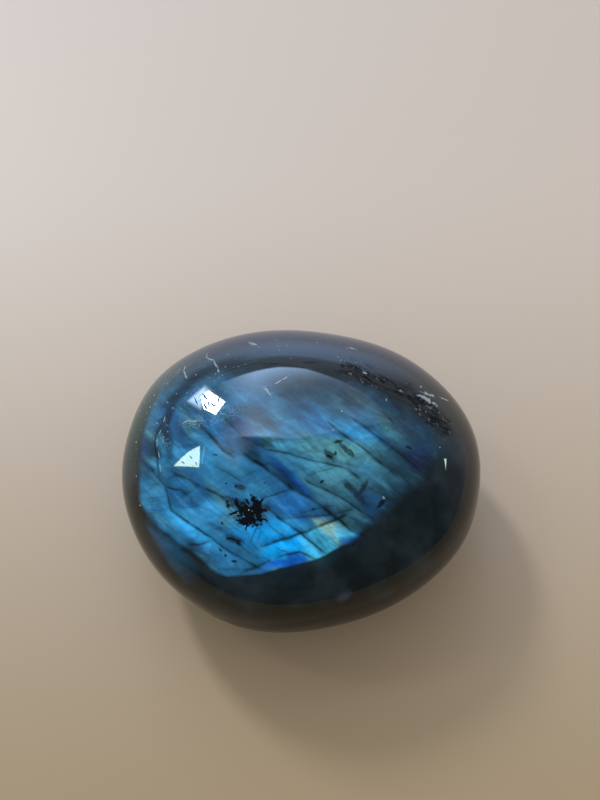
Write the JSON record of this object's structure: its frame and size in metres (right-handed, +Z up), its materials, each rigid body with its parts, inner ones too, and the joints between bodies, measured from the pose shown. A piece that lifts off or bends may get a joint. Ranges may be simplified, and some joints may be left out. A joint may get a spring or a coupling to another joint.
{
  "type": "polished labradorite palm stone",
  "caption": "Hand-sized polished labradorite: a rounded, slightly flattened oval stone with a blue flash across its top, resting on a small polished flat.",
  "frame": {"origin": "centre of the stone's outline, at the level of the flat that it rests on", "axes": "+X along the stone's length, +Y across its width away from the viewer of the picture, +Z up through its thickness"},
  "size_m": [0.06, 0.053, 0.028],
  "materials": {
    "labradorite": "high polish, dark grey-green body with a blue labradorescent flash"
  },
  "bodies": {
    "root": {"labradorite": "labradorite"}
  },
  "joints": []
}
